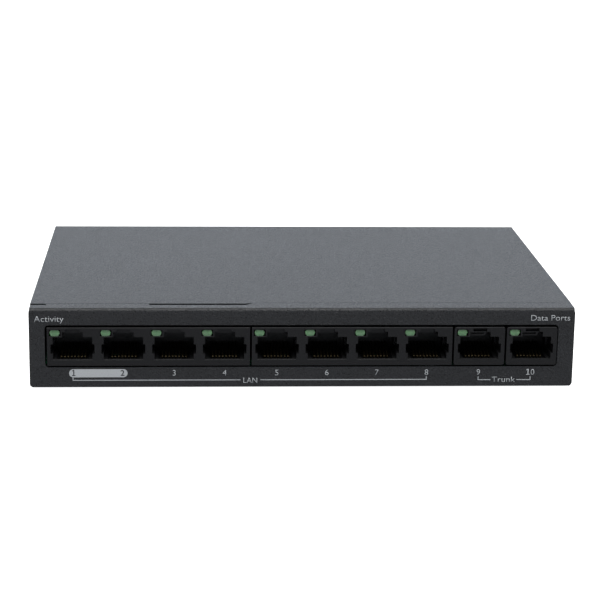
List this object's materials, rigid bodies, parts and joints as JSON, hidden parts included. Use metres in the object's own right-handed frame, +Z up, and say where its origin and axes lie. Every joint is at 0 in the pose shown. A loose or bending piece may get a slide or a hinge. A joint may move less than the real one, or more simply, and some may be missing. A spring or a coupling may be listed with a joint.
{
  "type": "network switch",
  "caption": "Low desktop network switch in a folded steel case, with a row of modular jacks with indicator lights in the front panel and a DC inlet at the rear.",
  "frame": {"origin": "on the supporting surface, under the middle of the object's box", "axes": "+X to the right seen from the front, +Y from the front panel to the rear, +Z up"},
  "size_m": [0.1652, 0.1178, 0.0267],
  "materials": {
    "case_paint": "fine textured powder coat, satin",
    "jack_plastic": "moulded, fine matte grain",
    "contact_gold": "gold flashed spring wire, polished",
    "led_lens": "tinted, translucent, unlit",
    "foot_rubber": "matte",
    "board": "solder mask over copper tracks, glossy",
    "chip_epoxy": "moulded epoxy, fine grain",
    "plated_steel": "zinc plated, fine brushed",
    "black_screw": "black oxide, satin",
    "tin_lead": "tinned, bright",
    "film": "insulating polyester film, satin",
    "can_sleeve": "shrink sleeve on an aluminium can",
    "ferrite": "sintered ferrite, matte",
    "heatsink_aluminium": "extruded, fine machining lines",
    "fuse_ceramic": "ceramic, matte",
    "legend_ink": "screen printed ink, matte"
  },
  "bodies": {
    "chassis": {"base_chassis": "case_paint", "top_cover": "case_paint", "cover_screws": "black_screw", "rubber_feet": "foot_rubber", "insulating_sheet": "film", "main_pcb": "board", "pcb_standoffs": "plated_steel", "pcb_screws": "plated_steel", "jack_housing_1_4": "jack_plastic", "jack_housing_5_8": "jack_plastic", "jack_housing_9": "jack_plastic", "jack_housing_10": "jack_plastic", "contact_tails": "contact_gold", "led_1": "led_lens", "led_2": "led_lens", "led_3": "led_lens", "led_4": "led_lens", "led_5": "led_lens", "led_6": "led_lens", "led_7": "led_lens", "led_8": "led_lens", "led_9": "led_lens", "led_10": "led_lens", "led_leads": "tin_lead", "lan_transformers": "chip_epoxy", "switch_chip": "chip_epoxy", "heatsink": "heatsink_aluminium", "config_memory": "chip_epoxy", "crystal": "plated_steel", "poe_controllers": "chip_epoxy", "poe_transistors": "chip_epoxy", "bulk_capacitors": "can_sleeve", "small_capacitors": "can_sleeve", "power_inductor": "ferrite", "power_converter_chip": "chip_epoxy", "power_diode": "chip_epoxy", "input_fuse": "fuse_ceramic", "dc_jack_body": "jack_plastic", "dc_jack_pin": "tin_lead", "dc_jack_tabs": "tin_lead", "ground_screw": "plated_steel", "ground_washer": "plated_steel", "ground_nut": "plated_steel"},
    "port_1_contacts": {"contacts_1": "contact_gold"},
    "port_2_contacts": {"contacts_2": "contact_gold"},
    "port_3_contacts": {"contacts_3": "contact_gold"},
    "port_4_contacts": {"contacts_4": "contact_gold"},
    "port_5_contacts": {"contacts_5": "contact_gold"},
    "port_6_contacts": {"contacts_6": "contact_gold"},
    "port_7_contacts": {"contacts_7": "contact_gold"},
    "port_8_contacts": {"contacts_8": "contact_gold"},
    "port_9_contacts": {"contacts_9": "contact_gold"},
    "port_10_contacts": {"contacts_10": "contact_gold"},
    "inlet_contact": {"dc_jack_spring": "tin_lead"}
  },
  "joints": [
    {"name": "port_1_contact_flex", "type": "hinge", "parent": "chassis", "child": "port_1_contacts", "pos_m": [-0.06964, -0.05488, 0.01055], "axis": [-1, 0, 0], "range_deg": [0, 10], "stiffness_Nm_per_rad": 0.35},
    {"name": "port_2_contact_flex", "type": "hinge", "parent": "chassis", "child": "port_2_contacts", "pos_m": [-0.0544, -0.05488, 0.01055], "axis": [-1, 0, 0], "range_deg": [0, 10], "stiffness_Nm_per_rad": 0.35},
    {"name": "port_3_contact_flex", "type": "hinge", "parent": "chassis", "child": "port_3_contacts", "pos_m": [-0.03916, -0.05488, 0.01055], "axis": [-1, 0, 0], "range_deg": [0, 10], "stiffness_Nm_per_rad": 0.35},
    {"name": "port_4_contact_flex", "type": "hinge", "parent": "chassis", "child": "port_4_contacts", "pos_m": [-0.02392, -0.05488, 0.01055], "axis": [-1, 0, 0], "range_deg": [0, 10], "stiffness_Nm_per_rad": 0.35},
    {"name": "port_5_contact_flex", "type": "hinge", "parent": "chassis", "child": "port_5_contacts", "pos_m": [-0.00808, -0.05488, 0.01055], "axis": [-1, 0, 0], "range_deg": [0, 10], "stiffness_Nm_per_rad": 0.35},
    {"name": "port_6_contact_flex", "type": "hinge", "parent": "chassis", "child": "port_6_contacts", "pos_m": [0.00716, -0.05488, 0.01055], "axis": [-1, 0, 0], "range_deg": [0, 10], "stiffness_Nm_per_rad": 0.35},
    {"name": "port_7_contact_flex", "type": "hinge", "parent": "chassis", "child": "port_7_contacts", "pos_m": [0.0224, -0.05488, 0.01055], "axis": [-1, 0, 0], "range_deg": [0, 10], "stiffness_Nm_per_rad": 0.35},
    {"name": "port_8_contact_flex", "type": "hinge", "parent": "chassis", "child": "port_8_contacts", "pos_m": [0.03764, -0.05488, 0.01055], "axis": [-1, 0, 0], "range_deg": [0, 10], "stiffness_Nm_per_rad": 0.35},
    {"name": "port_9_contact_flex", "type": "hinge", "parent": "chassis", "child": "port_9_contacts", "pos_m": [0.05359, -0.05488, 0.01055], "axis": [-1, 0, 0], "range_deg": [0, 10], "stiffness_Nm_per_rad": 0.35},
    {"name": "port_10_contact_flex", "type": "hinge", "parent": "chassis", "child": "port_10_contacts", "pos_m": [0.06964, -0.05488, 0.01055], "axis": [-1, 0, 0], "range_deg": [0, 10], "stiffness_Nm_per_rad": 0.35},
    {"name": "inlet_contact_flex", "type": "hinge", "parent": "chassis", "child": "inlet_contact", "pos_m": [0.057, 0.04523, 0.0115], "axis": [-1, 0, 0], "range_deg": [0, 5.5], "stiffness_Nm_per_rad": 0.25}
  ]
}
